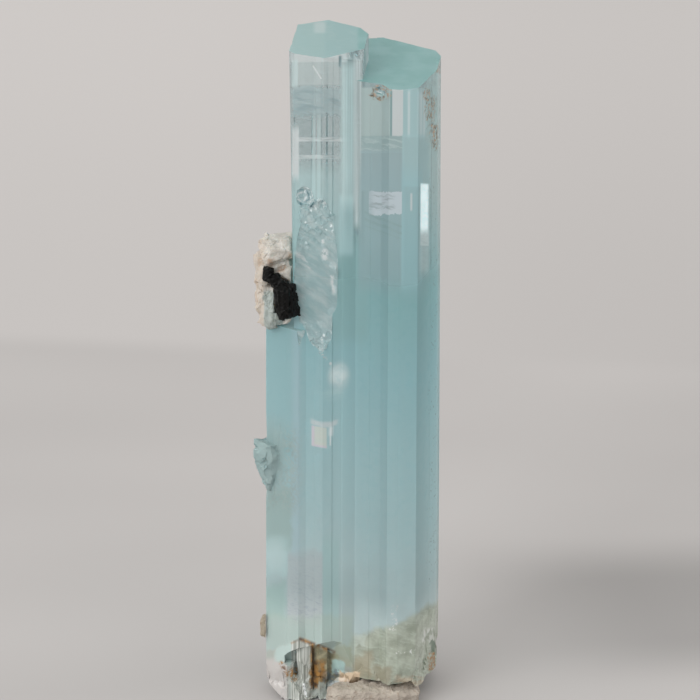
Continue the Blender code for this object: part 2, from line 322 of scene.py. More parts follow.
def table():
    bpy.ops.object.select_all(action="DESELECT")
    bpy.ops.mesh.primitive_plane_add(size=3.0, location=(0, 0, -0.0001))
    board = bpy.context.active_object
    board.name = "table"
    bpy.ops.object.transform_apply(location=True, rotation=True, scale=True)
    finish = Finish("pale_board")
    x, y, z, at = finish.place()
    edge = y + x * 0.096
    wall = edge.step(99, 106)
    patches = finish.grain(finish.stretched(at, (1.0, 2.6, 1.0)), 0.011, detail=1.0)
    board_tone_and_shadow = 0.43 + patches * 0.1 + y.between(-12, 8, 30) * 0.012
    # painted shadow: the board is darkened to the right of the specimen and a little behind it
    shade = (x + y * 0.2).step(12, 42) * (y - x * 0.1).between(10, 26, 16)
    board_tone_and_shadow = board_tone_and_shadow - shade * 0.16
    # painted light on the wall: lighter further back and darker towards the right
    wall_tone_and_light = 0.52 + edge.step(100, 240) * 0.06 - x.step(-30, 45) * 0.045
    tone = board_tone_and_shadow * (1.0 - wall) + wall_tone_and_light * wall
    grey = finish.node("ShaderNodeCombineColor", {}, [tone, tone * 0.962, tone * 0.94]).outputs[0]
    dress(board, finish.done(finish.shader(Base_Color=grey, Roughness=0.6)))


table()

# %% [markdown]
# ## Pieces from the solid model
# A piece starts as a welded copy of its solid. The flat faces of the prisms are already right.
# Broken surfaces are not flat, so their faces are split until they are small enough to push in
# and out. Cleaved minerals break in little planes, so the push is a set of tilted facets.

# %% Tools for broken surfaces


def piece_from(node, name):
    """A welded copy of a solid, which is shown in its place."""
    bpy.ops.object.select_all(action="DESELECT")
    piece = bpy.data.objects.new(name, bpy.data.objects[node].data.copy())
    bpy.context.collection.objects.link(piece)
    shape = bmesh.new()
    shape.from_mesh(piece.data)
    bmesh.ops.remove_doubles(shape, verts=shape.verts, dist=1e-6)
    bmesh.ops.recalc_face_normals(shape, faces=shape.faces)
    shape.to_mesh(piece.data)
    shape.free()
    piece.data.materials.clear()
    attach(piece, "root")
    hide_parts(node)
    return piece


def facets(point, size, seed=0.0):
    """How far a cleaved surface stands out at a point: tilted planes, one to each cell."""
    shifted = Vector(point) / size + Vector((seed, seed * 0.7, seed * 1.3))
    nearest = noise.voronoi(shifted)[1][0]
    tilt = noise.cell_vector(nearest * 17.3) * 2 - Vector((1, 1, 1))
    return tilt.dot(shifted - nearest) + 0.6 * tilt.x


def split_faces(shape, inside, longest, rounds=8):
    """Splits the edges of the faces inside a region until they are all short."""
    for _ in range(rounds):
        inner = [f for f in shape.faces if all(inside(v.co / MM) for v in f.verts)]
        edges = {e for f in inner for e in f.edges if e.calc_length() > longest * MM}
        if not edges:
            break
        bmesh.ops.subdivide_edges(shape, edges=list(edges), cuts=1)
        bmesh.ops.triangulate(shape, faces=[f for f in shape.faces if len(f.verts) > 3])


def slice_at(shape, point, normal):
    """Cuts the faces that a plane crosses, and removes nothing."""
    everything = [*shape.verts, *shape.edges, *shape.faces]
    where = Vector(point) * MM
    bmesh.ops.bisect_plane(shape, geom=everything, dist=1e-7, plane_co=where, plane_no=normal)
    bmesh.ops.triangulate(shape, faces=[f for f in shape.faces if len(f.verts) > 3])


def within_box(point):
    """The point, moved inside the solid model's box if it lies outside."""
    return Vector([min(max(c, low), high) for c, low, high in zip(point, *cad_box)])


def smooth_ramp(value, start, end):
    """0 at start and 1 at end, eased."""
    t = min(1.0, max(0.0, (value - start) / (end - start)))
    return t * t * (3 - 2 * t)


# %% [markdown]
# ## The crystals
# Beryl grows as a six-sided prism. Four prisms stand side by side here, all turned the same
# way. A neighbour broke off the tall one and left a shallow scar of curved ripples, and the
# whole foot of the group is shattered. The rest is left exactly as the solid has it.

# %% The crystal piece
SCAR_CENTRE, SCAR_SIZE = Vector((-4.3, -7.65, 53.6)), Vector((4.4, 2.5, 11.4))
CHIP, PIT = Vector((-5.0, -6.3, 62.9)), Vector((3.5, -6.9, 75.9))  # two small shell-like hollows
SHATTERED = 12.5  # the foot is broken below this height


def in_scar(point):
    offset = Vector([(p - c) / s for p, c, s in zip(point, SCAR_CENTRE, SCAR_SIZE)])
    return offset.length < 1.07


def in_chip(point):
    return (point - CHIP).length < 1.75


def in_pit(point):
    return (point - PIT).length < 1.35


def in_plate(point):
    return point.x < -5.6 and point.y < -1.9 and 25.0 < point.z < 35.6


def broken_amount(point):
    """How badly the foot is shattered at a point, from 0 to 1."""
    ragged = noise.noise(point * 0.35) * 3.0
    line = 4.0 + 0.25 * max(0.0, point.x)
    return 1.0 - smooth_ramp(point.z + ragged, line - 2.0, line + 1.5)


def scar_push(point):
    """Ripples that run down to the right across the scar, finer ones between them."""
    across = point.z * 0.8 + point.x * 0.6
    along = point.z * 0.6 - point.x * 0.8
    ripple = noise.noise(Vector((across * 1.1, along * 0.35, 3.0))) * 0.22
    fine = noise.noise(Vector((across * 3.5, along * 1.2, 9.0))) * 0.05
    ends = smooth_ramp(point.z, 55.5, 58.5) + smooth_ramp(point.z, 47.5, 45.5)
    return ripple + fine + facets(point, 0.7, 2.0) * 0.16 * ends


def shell_push(point, centre):
    """Rings round the place where a chip was struck off."""
    ring = (point - centre - Vector((0.5, 0.6, 0.9))).length
    return math.sin(ring * 9.0) * 0.05 + noise.noise(point * 2.4) * 0.09


def build_crystal():
    crystal = piece_from("aquamarine_crystal", "aquamarine")
    shape = bmesh.new()
    shape.from_mesh(crystal.data)
    for height in (SHATTERED, 24.8, 35.8, 41.8, 61.0, 65.3, 74.3):
        slice_at(shape, (0, 0, height), (0, 0, 1))
    flaw = shape.verts.layers.float.new("flaw")
    scar = shape.verts.layers.float.new("scar")
    split_faces(shape, in_scar, 0.28)
    split_faces(shape, in_chip, 0.16)
    split_faces(shape, in_pit, 0.16)
    split_faces(shape, in_plate, 0.4)
    split_faces(shape, lambda p: p.z < SHATTERED + 0.01, 0.55)
    shape.normal_update()
    pushes = {}
    for vertex in shape.verts:
        point = vertex.co / MM
        if in_scar(point):
            rim = any(not all(in_scar(v.co / MM) for v in f.verts) for f in vertex.link_faces)
            pushes[vertex] = 0.0 if rim else scar_push(point)
            vertex[scar] = 0.0 if rim else 1.0
        elif in_chip(point) or in_pit(point):
            inside, centre = (in_chip, CHIP) if in_chip(point) else (in_pit, PIT)
            rim = any(not all(inside(v.co / MM) for v in f.verts) for f in vertex.link_faces)
            pushes[vertex] = 0.0 if rim else shell_push(point, centre)
            vertex[scar] = 0.0 if rim else 1.0
        elif in_plate(point):
            pushes[vertex] = facets(point, 1.3, 5.0) * 0.22 - 0.1
            vertex[flaw] = 1.0
        elif point.z < SHATTERED - 0.05:
            amount = broken_amount(point)
            crumb = facets(point, 2.6, 8.0) * 0.3 + facets(point, 1.1, 3.0) * 0.08
            calm = 1.0 - 0.6 * smooth_ramp(point.x, 0.0, 1.5) * smooth_ramp(point.z, 3.5, 5.0)
            pushes[vertex] = amount * calm * min(0.0, crumb - 0.15)
            vertex[flaw] = amount
    for vertex, push in pushes.items():
        vertex.co = within_box(vertex.co + vertex.normal * push * MM)
    shape.to_mesh(crystal.data)
    shape.free()
    print("crystal faces:", len(crystal.data.polygons))
    return crystal


crystal = build_crystal()

# %% [markdown]
# ### What the crystal is made of
# Clear beryl bends light by 1.577 and takes out red first, so thick parts look blue-green. The
# colour is strongest across the middle. The top quarter is nearly colourless and holds thin
# flat veils, and the foot is milky with healed cracks and stained by iron.

# %% Aquamarine: patterns


def shade(red, green, blue):
    """The paint that looks like this screen colour in the soft light here."""
    return tuple(min(1.0, (c / 255) ** 2.2 / 0.55) for c in (red, green, blue))


class Look(Finish):
    """The crystal's finish while it is painted, layer on layer.

    milk is the colour of what clouds the crystal, haze how much of it there is, and glow the
    painted light, given out as emission, that stands for what an inner face throws back. up is
    height as the front view has it, where a point further back looks higher. Every pattern is read
    through __getattr__, which makes it wait for the layer before: a renderer can hold only so many
    unfinished numbers at a time."""

    def __init__(self):
        super().__init__("aquamarine")
        self.wait, self.patterns, self.fresh = None, {}, {}
        x, y, z, self.at = self.place()
        normal = self.node("ShaderNodeNewGeometry").outputs["True Normal"]
        parts = self.node("ShaderNodeSeparateXYZ", {}, [normal]).outputs
        nx, _, nz = (Value(self, part) for part in parts)
        rise = z + (y + 7.0) * 0.4
        self.keep(x=x, y=y, z=z, nx=nx, nz=nz, rise=rise, up=rise + y.step(0.0, 1.0) * 500.0)
        self.keep(flaw=self.stored("flaw"), scar=self.stored("scar"))
        self.keep(cloud=self.grain(self.at, 0.3, detail=2))
        self.keep(mist=self.grain(self.at, 0.75, detail=3, roughness=0.6))
        self.keep(crumbs=self.grain(self.at, 2.6, detail=2, roughness=0.65))
        self.keep(lines=self.long_noise((1.6, 1.6, 0.015), 0.65))
        self.keep(wisps=self.grain(self.stretched(self.at, (0.2, 0.2, 1.5)), 1.0, 3))
        self.keep(front=y.step(1.0, 0.0))
        self.keep(loose_x=x + (self.mist - 0.5) * 1.2)
        self.keep(loose_up=self.up + (self.cloud - 0.5) * 1.5 + (self.mist - 0.5) * 1.6)
        self.keep(streaks=self.streaks_along(8, 0.32, 2.4))
        self.keep(ripples=self.streaks_along(38, 0.45, 1.8))
        flakes = self.cells(self.stretched(self.at, (1.0, 1.0, 0.62)), 1.5).step(0.34, 0.16)
        self.keep(flakes=flakes * self.crumbs.step(0.43, 0.55))
        weathered = x + (self.mist - 0.5) * 1.2 + z.step(62, 74) * 0.6
        self.keep(dull=nx.step(0.86, 0.92) * weathered.step(9.2, 9.7) * z.step(12.0, 15.0))
        self.glow = 0.0

    def keep(self, **patterns):
        self.patterns.update(patterns)

    def __getattr__(self, name):
        if self.wait is None:
            return self.patterns[name]
        if name not in self.fresh:
            self.fresh[name] = self.patterns[name] + self.wait
        return self.fresh[name]

    def stored(self, name):
        """A number kept on the corners of the mesh."""
        node = self.node("ShaderNodeAttribute", {"attribute_name": name})
        return Value(self, node.outputs["Fac"])

    def long_noise(self, scale, roughness=0.6):
        return self.grain(self.stretched(self.at, scale), 1.0, 3, roughness)

    def streaks_along(self, tilt, width, length):
        """Noise drawn out into streaks that fall to the right by an angle in degrees."""
        s, c = math.sin(math.radians(tilt)), math.cos(math.radians(tilt))
        across = self.rise * c + self.x * s + (self.mist - 0.5) * 0.9
        along = self.x * c - self.rise * s
        inputs = [along * (1 / length), self.y * 0.4, across * (1 / width)]
        vector = self.node("ShaderNodeCombineXYZ", {}, inputs).outputs[0]
        return self.grain(vector, 1.0, detail=2, roughness=0.6)

    def box(self, left, right, low, high, soft=0.3, soft_up=None):
        across = self.x.between(left, right, soft * 1.6)
        return across * self.up.between(low, high, (soft_up or soft) * 1.6)

    def patch(self, left, right, low, high, soft=0.4, soft_up=None):
        """A box with a wandering edge."""
        across = self.loose_x.between(left, right, soft * 1.6)
        return across * self.loose_up.between(low, high, (soft_up or soft) * 1.6)

    def round(self, x, up, width, height):
        """1 in the middle of an ellipse, easing to 0 at its edge."""
        far = ((self.x - x) / width) ** 2 + ((self.up - up) / height) ** 2
        return far.step(1.0, 0.0)

    def line(self, x0, up0, x1, up1, width):
        """1 along a straight line from one point to another."""
        dx, du = x1 - x0, up1 - up0
        long = math.hypot(dx, du)
        along = ((self.x - x0) * dx + (self.up - up0) * du) / long
        off = ((self.x - x0) * du - (self.up - up0) * dx) / long
        return off.between(0, 0, width * 1.3) * along.between(0, long, width)

    def lay(self, amount, colour, thick=0.85):
        """Lays a cloudy patch over what is there."""
        self.milk = self.blend(self.milk, colour, amount)
        fade = self.node("ShaderNodeMix", {"data_type": "FLOAT"}, {0: amount, 2: self.haze, 3: thick})
        self.haze = Value(self, fade.outputs[0])
        self.wait, self.fresh = self.haze * 1e-7, {}

    def shine(self, amount):
        # painted light: adds to the glow, an emission where a glint or reflection is wanted
        self.glow = amount + self.glow
        self.wait, self.fresh = self.wait + self.glow * 1e-7, {}


# %% Aquamarine: the body


def paint_body(look):
    """The slow change of colour up the crystal and faint lines along it."""
    z, x, mist = look.z, look.x, look.mist
    look.keep(tall=x.step(1.4, 0.9))
    height = (z + (look.cloud - 0.5) * 2.0 + (mist - 0.5) * 1.6 - look.tall * 2.5) * (1 / 80)
    stops = [
        (0.0, (1.0, 1.0, 0.97)),
        (0.16, (1.0, 1.0, 1.0)),
        (0.30, (0.98, 1.0, 1.0)),
        (0.40, (0.93, 0.97, 0.98)),
        (0.52, (0.76, 0.87, 0.89)),
        (0.63, (0.66, 0.79, 0.80)),
        (0.70, (0.72, 0.82, 0.83)),
        (0.75, (0.86, 0.87, 0.88)),
        (1.0, (0.90, 0.88, 0.89)),
    ]
    look.tint = look.node("ShaderNodeValToRGB", {"stops": stops}, [height]).outputs[0]
    stops = [
        (0.12, (0.58, 0.71, 0.72)),
        (0.19, (0.69, 0.87, 0.89)),
        (0.27, (0.61, 0.84, 0.87)),
        (0.39, (0.54, 0.81, 0.85)),
        (0.51, (0.45, 0.75, 0.80)),
        (0.63, (0.38, 0.68, 0.70)),
        (0.72, (0.46, 0.71, 0.74)),
        (0.80, (0.54, 0.67, 0.68)),
    ]
    look.milk = look.node("ShaderNodeValToRGB", {"stops": stops}, [height]).outputs[0]
    look.haze = 0.15 + mist.step(0.45, 0.7) * 0.08 + z.step(60, 50) * 0.55 + look.lines * 0.08
    look.haze = look.haze.most(x.step(1.4, 2.2) * 0.55)
    look.haze = look.haze.most(look.wisps.step(0.52, 0.72) * z.step(58, 66) * 0.35)
    look.lay(look.lines.step(0.50, 0.72) * 0.12, (0.75, 0.88, 0.90), 0.75)
    look.lay(look.box(-1.2, 2.0, 47.0, 56.6, 0.5, 1.6) * 0.6, shade(126, 157, 157), 0.8)
    look.lay(look.box(-0.6, 0.9, 10.0, 56.0, 0.5, 3.0) * 0.7, look.milk, 0.85)
    look.lay(look.box(-6.1, -5.55, 18.0, 46.0, 0.3, 3.0) * 0.55, shade(154, 173, 181), 0.75)


def paint_ends(look):
    """The flat ends: smooth and evenly lit, a little mottled, with a pale notch at the back."""
    flat = look.nz.step(0.75, 0.9) * look.z.step(40, 44)
    left = look.blend((0.48, 0.67, 0.65), (0.43, 0.63, 0.62), look.x.step(-2.9, -2.3))
    left = look.blend(left, (0.54, 0.71, 0.69), look.mist.step(0.45, 0.75) * 0.6)
    notch = look.x.between(-3.5, -2.9, 0.7) * look.y.between(2.0, 4.4, 1.2)
    left = look.blend(left, (0.76, 0.85, 0.83), notch * 0.7)
    right = look.blend((0.29, 0.54, 0.51), (0.37, 0.62, 0.60), look.cloud.step(0.35, 0.65))
    right = look.blend(right, (0.20, 0.36, 0.34), look.crumbs.step(0.68, 0.74) * 0.6)
    look.milk = look.blend(look.milk, look.blend(right, left, look.tall), flat)
    look.haze = look.haze.most(flat * 0.86)


# %% Aquamarine: the clear upper part


def paint_tall_top(look):
    """The tall crystal near its end: clear under the rim, then a smoky band, then fine veils."""
    rows = look.wisps.step(0.35, 0.6)
    fine = look.lines.step(0.35, 0.65)
    look.lay(look.box(-5.9, -1.1, 77.0, 80.6, 0.2, 0.3) * 0.7, shade(186, 193, 191), 0.6)
    look.lay(look.box(-6.3, -0.3, 79.7, 80.8, 0.3, 0.15) * 0.6, shade(206, 211, 209), 0.8)
    look.lay(look.box(-0.95, -0.75, 79.1, 80.3, 0.08), shade(84, 100, 104))
    # a painted glint: a short white stroke under the rim
    look.lay(look.line(-3.9, 79.1, -3.0, 77.6, 0.12), shade(245, 248, 250))
    look.lay(look.patch(-6.1, -0.9, 73.6, 76.4, 0.2, 0.25) * 0.8, shade(148, 163, 165), 0.7)
    blotch = look.patch(-5.6, -3.0, 73.8, 75.4, 0.6, 0.7).most(look.patch(-1.8, -0.9, 74.2, 75.4))
    look.lay(blotch * look.streaks.step(0.38, 0.60) * 0.8, shade(116, 130, 133), 0.9)
    veil = look.box(-5.3, -0.7, 70.1, 70.45, 0.5, 0.12).most(look.box(-5.4, -1.2, 68.0, 68.3, 0.5, 0.12))
    look.lay(veil * (0.3 + rows * 0.5), shade(202, 212, 209), 0.8)
    slim = look.box(-3.95, -3.7, 61.0, 71.5, 0.1, 2.0).most(look.box(-3.35, -3.1, 61.0, 71.5, 0.1, 2.0))
    look.lay(slim * 0.6, shade(176, 202, 203), 0.7)
    look.lay(look.box(-6.0, -1.0, 58.0, 65.5, 0.4, 2.0) * 0.6, shade(168, 196, 199), 0.82)
    look.lay(look.box(-6.2, -5.75, 76.9, 79.6, 0.15, 0.4) * 0.8, shade(180, 208, 216), 0.8)
    look.lay(look.box(-6.15, -5.6, 66.4, 71.0, 0.15, 1.0) * 0.85, shade(194, 220, 230), 0.85)
    look.lay(look.box(-0.7, 0.5, 56.8, 63.0, 0.25, 0.7) * 0.8, shade(160, 187, 189), 0.85)
    # painted light: a bright column of the room's light on the tall crystal's right, with a painted glow
    column = look.box(-0.5, 0.65, 63.5, 78.6, 0.35, 1.5)
    look.lay(column * (0.75 + fine * 0.2), shade(174, 228, 235), 0.88)
    look.shine(look.box(-0.1, 0.5, 66.0, 77.0, 0.3, 1.6) * fine * 0.14)
    edge = look.box(0.75, 1.5, 60.5, 79.5, 0.15, 1.0)
    look.lay(edge * (0.35 + fine * 0.6), shade(188, 210, 215), 0.85)


def paint_right_top(look):
    """The right crystal below its end: clear panes divided by upright lines."""
    streaks, fine = look.streaks, look.lines.step(0.35, 0.65)
    look.lay(look.box(1.7, 4.75, 70.8, 76.4, 0.2, 0.2) * 0.8, shade(168, 181, 178), 0.8)
    look.lay(look.box(6.3, 9.2, 70.7, 76.4, 0.15, 0.2) * 0.85, shade(156, 183, 185), 0.85)
    look.lay(look.box(5.05, 6.2, 70.75, 76.4, 0.08, 0.15) * 0.9, shade(196, 202, 202), 0.88)
    look.lay(look.box(4.88, 4.98, 70.6, 76.0, 0.07), shade(112, 136, 137), 0.85)
    bars = look.box(8.1, 8.8, 71.2, 75.4, 0.2, 1.0) * (0.1 + fine * 0.5)
    bars = bars.most(look.box(6.85, 7.0, 70.8, 75.8, 0.08, 0.4) * 0.5)
    look.lay(bars, shade(202, 228, 233), 0.9)
    # painted light: the bright upright lines also give out a glow
    look.shine(bars * 0.12)
    rows = look.box(1.7, 6.2, 68.7, 70.6, 0.2, 0.1)
    look.lay(rows * 0.85, look.blend(shade(138, 156, 156), shade(168, 180, 178), streaks.step(0.45, 0.65)))
    look.lay(look.box(1.7, 6.2, 64.3, 68.7, 0.2, 0.3) * 0.8, shade(142, 160, 164), 0.8)
    look.lay(look.box(6.3, 9.4, 64.8, 70.6, 0.15, 0.3) * 0.85, shade(152, 177, 179), 0.85)


def paint_windows(look):
    """Painted reflections: pale panes where an inner face throws back the light of the room."""
    streaks = look.streaks
    look.lay(look.box(1.6, 6.2, 54.2, 64.6, 0.3, 2.2) * 0.75, shade(137, 157, 161), 0.8)
    look.lay(look.box(6.3, 8.4, 53.6, 64.8, 0.2, 2.0) * 0.7, shade(142, 174, 179), 0.85)
    wave = look.up + (look.mist - 0.5) * 1.4
    # painted reflection: a pale pane with a wavy top
    pane = look.x.between(2.5, 6.15, 0.1) * wave.between(61.3, 63.9, 0.12) * look.front
    pane = pane * look.x.step(2.1, 3.4, 0.5, 1.0)
    look.lay(pane * 0.9, shade(182, 187, 193), 0.92)
    scratches = look.box(2.6, 5.0, 61.9, 63.5, 0.4, 0.2) * streaks.step(0.46, 0.66)
    look.lay(scratches * 0.6, shade(110, 121, 121), 0.95)
    fall = look.up + (look.x - 2.2) * 0.42 + (look.mist - 0.5) * 0.5
    folds = (fall * 7.5).sine().step(-0.4, 0.8) * fall.between(59.9, 61.4, 0.3)
    folds = folds * look.x.between(2.0, 6.15, 0.1) * look.front
    look.lay(folds * (0.3 + streaks.step(0.4, 0.65) * 0.3), shade(108, 126, 123))
    look.lay(look.box(7.2, 7.32, 61.8, 63.6, 0.07, 0.2) * 0.8, shade(198, 194, 208))
    reflected_pane = look.box(8.4, 9.25, 57.5, 64.8, 0.12, 0.2).most(look.box(8.5, 9.1, 55.0, 57.5, 0.3, 1.2) * 0.6)
    reflected_pane = reflected_pane * (0.85 + streaks.step(0.35, 0.6) * 0.15)
    look.lay(reflected_pane, shade(184, 204, 206), 0.95)
    # a painted glow over the brightest pane
    look.shine(look.box(8.4, 9.1, 60.0, 64.6, 0.12, 1.0) * reflected_pane * 0.7)


# %% Aquamarine: the middle


def paint_middle(look):
    """A soft bright spot with a painted glow, a curved crack drawn as a painted highlight, a
    painted glint, and a small patch of rainbow colours.
    """
    rows = look.wisps.step(0.3, 0.6)
    look.lay(look.round(-0.9, 41.3, 1.6, 2.3) * (0.5 + look.mist.step(0.35, 0.6) * 0.5), shade(184, 224, 232), 0.9)
    look.shine(look.round(-0.9, 41.5, 1.0, 1.3) * 0.09)
    look.lay(look.round(-1.6, 39.0, 1.8, 1.0) * rows * 0.5, shade(172, 195, 197), 0.8)
    bend = look.up - (look.x + 2.4) ** 2 * 0.16 + (look.mist - 0.5) * 0.7
    arc = bend.between(35.25, 35.5, 0.35) * look.x.between(-3.9, -1.2, 0.4) * look.front
    look.lay(arc * (0.4 + rows * 0.3), shade(206, 222, 226))
    glint = look.line(-1.75, 34.9, -1.8, 34.1, 0.35).most(look.line(-1.85, 34.2, -1.85, 32.8, 0.12))
    look.lay(glint * 0.9, shade(222, 233, 236))
    look.shine(glint * 0.15)
    cream = look.blend(shade(188, 195, 184), shade(198, 198, 184), rows)
    slope = look.up + look.x * 0.18
    square = look.x.between(-3.9, -2.35, 0.2) * slope.between(32.1, 34.4, 0.2) * look.front
    look.lay(square * 0.85, cream, 0.85)
    border = square * look.x.step(-3.5, -3.85).most(slope.step(32.4, 32.1))
    look.lay(border * 0.7, shade(196, 178, 204))


def paint_left(look):
    """The slim crystal: a green band, two bright aqua panes, and a grey pane beside them."""
    look.lay(look.patch(-9.3, -6.6, 20.6, 26.5, 0.4, 1.0) * 0.85, shade(141, 159, 155), 0.8)
    look.lay(look.box(-9.6, -6.6, 33.0, 47.0, 0.6, 3.0) * 0.6, shade(130, 159, 162), 0.85)
    look.lay(look.patch(-9.3, -7.0, 16.9, 20.6, 0.5, 0.9) * 0.55, shade(162, 186, 186), 0.8)
    look.lay(look.round(-8.2, 19.0, 1.6, 2.8) * 0.4, shade(180, 208, 208), 0.85)
    look.lay(look.patch(-9.3, -7.4, 11.4, 14.6, 0.5, 0.8) * 0.6, shade(136, 163, 156), 0.8)
    pane = look.x.between(-6.6, -2.75, 0.3) * look.loose_up.between(11.2, 18.6, 1.5) * look.front
    look.lay(pane * 0.85, shade(160, 166, 168), 0.85)
    dashes = look.streaks_along(20, 0.2, 0.6).step(0.48, 0.70)
    dense = look.up.step(19.0, 11.5, 0.35, 1.0)
    look.lay(pane * dashes * dense * 0.5, shade(124, 134, 144))
    look.lay(look.box(-2.5, -1.0, 10.5, 19.5, 0.25, 2.0) * 0.6, shade(148, 177, 176), 0.8)
    plate = look.patch(-8.8, -6.2, 26.2, 33.0, 0.9, 2.0) * look.crumbs.step(0.35, 0.6)
    plate = look.flaw.most(plate) * look.z.step(20, 24)
    dull = look.blend((0.60, 0.70, 0.66), (0.40, 0.46, 0.42), look.mist.step(0.4, 0.7))
    look.lay(plate * 0.7, dull, 0.7)


# %% Aquamarine: the scar


def paint_scar(look):
    """Smooth ripples in the middle; at both ends and along the rim, crumbs with painted glints
    and painted shade in their pits.
    """
    scar, up, mist = look.scar, look.up, look.mist
    rim = (scar * (1.0 - scar) * 4.0).least(1.0)
    high = (up + (mist - 0.5) * 5.0).step(56.0, 59.5)
    low = (up + (mist - 0.5) * 2.0).step(48.5, 46.5)
    ragged = scar * high.most(low).most(rim * 0.8)
    colour = look.blend(shade(150, 172, 174), shade(184, 202, 205), look.ripples.step(0.35, 0.75))
    look.lay(scar, colour, 0.62)
    # painted shade: dark flecks in the pits of the ragged parts
    pits = look.cells(look.stretched(look.at, (0.8, 1.0, 0.7)), 1.9).step(0.22, 0.1)
    pits = pits * look.crumbs.step(0.50, 0.40)
    look.lay(ragged * pits * 0.8, shade(84, 112, 116))
    # painted glints: white flecks with a painted glow
    sparkle = ragged * look.flakes
    look.lay(sparkle, shade(238, 246, 248), 0.9)
    look.shine(sparkle * 0.3)
    glints = look.round(-2.75, 57.9, 0.3, 0.35).most(look.round(-2.55, 56.3, 0.55, 1.1))
    glints = glints.most(look.line(-1.75, 53.6, -1.45, 51.6, 0.3) * 0.9)
    look.lay(glints * look.crumbs.step(0.38, 0.55), shade(244, 250, 252), 0.95)
    pale = look.line(-5.7, 56.5, -4.2, 54.8, 0.5) * look.ripples.step(0.4, 0.65)
    look.lay(pale * 0.7, shade(205, 212, 206), 0.8)
    # the chip's rings: painted highlights on some and painted shade on others
    far = ((look.x + 5.2) ** 2 + (up - 63.3) ** 2) ** 0.5
    arcs = (far * 8.0 + mist * 8.0).sine()
    chip = scar * up.step(61.6, 62.2)
    look.lay(chip * arcs.step(0.3, 0.8) * look.crumbs.step(0.4, 0.55), shade(240, 246, 250), 0.9)
    look.lay(chip * arcs.step(-0.5, -0.9) * look.crumbs.step(0.6, 0.45), shade(80, 100, 108), 0.9)
    shade_below = look.round(-4.0, 49.8, 1.6, 1.6)
    look.lay(shade_below * 0.35, shade(112, 145, 146), 0.75)
    # a broken trail of painted glints and painted shade
    trail = look.line(-3.4, 45.3, -2.5, 43.4, 0.35) * look.crumbs.step(0.54, 0.62)
    look.lay(trail, look.blend(shade(96, 118, 116), shade(226, 238, 240), look.mist.step(0.45, 0.55)))
    # a small painted glint
    look.lay(look.round(-1.85, 42.9, 0.22, 0.25), shade(235, 243, 245))


# %% Aquamarine: the foot


def paint_milky_foot(look):
    """The right crystal's foot: healed cracks have turned it into a greenish milk."""
    x, up = look.x, look.up
    wander = (look.cloud - 0.5) * 1.6 + (look.mist - 0.5) * 1.2
    line = 8.9 + x.step(0.5, 5.4) * 1.2 + x.step(4.5, 10.8) * 2.8 + wander
    foot = (line - look.rise).step(-0.5, 0.6) * (x + (look.mist - 0.5) * 0.8).step(0.2, 0.9)
    mottle = look.mist.step(0.28, 0.72)
    milk = look.blend(shade(118, 123, 110), shade(148, 154, 142), mottle)
    look.lay(foot * 0.97, milk, 0.88)
    grain = look.streaks_along(14, 0.22, 1.6).step(0.50, 0.68)
    look.lay(foot * grain * 0.3, shade(164, 172, 164))
    rim = look.patch(0.7, 2.2, 7.6, 8.7, 0.2).most(look.box(0.65, 0.95, 4.6, 8.6, 0.12, 0.6))
    look.lay(rim * 0.4, shade(172, 182, 176))
    # painted glints: bright flecks along the foot's top edge and on its right
    foot_glints = look.patch(5.3, 5.8, 10.2, 12.6, 0.15, 0.3) * look.crumbs.step(0.50, 0.60)
    foot_glints = foot_glints.most(look.patch(5.9, 7.8, 6.7, 7.1, 0.2, 0.1) * look.crumbs.step(0.55, 0.62))
    foot_glints = foot_glints.most(look.patch(9.2, 10.2, 8.4, 9.4, 0.3, 0.3) * look.mist.step(0.4, 0.6) * 0.7)
    look.lay(foot_glints * 0.7, shade(214, 224, 221))
    olive = look.patch(1.3, 2.7, 4.0, 6.0, 0.5, 0.6) * 0.6
    look.lay(olive, shade(138, 127, 106), 0.9)
    look.lay(look.patch(3.6, 5.0, 3.2, 4.8, 0.4) * 0.5, shade(124, 112, 92), 0.9)
    ledge = look.patch(6.0, 10.9, 2.0, 3.5, 0.4, 0.3) * look.streaks.step(0.30, 0.52)
    look.lay(ledge * 0.75, look.blend(shade(120, 106, 88), shade(176, 166, 148), mottle), 0.95)
    look.lay(look.patch(10.0, 10.7, 6.6, 7.9, 0.15), shade(84, 98, 84), 0.9)
    look.lay(look.patch(9.8, 10.7, 4.6, 6.3, 0.2) * look.crumbs.step(0.42, 0.55), shade(126, 88, 44))
    return foot


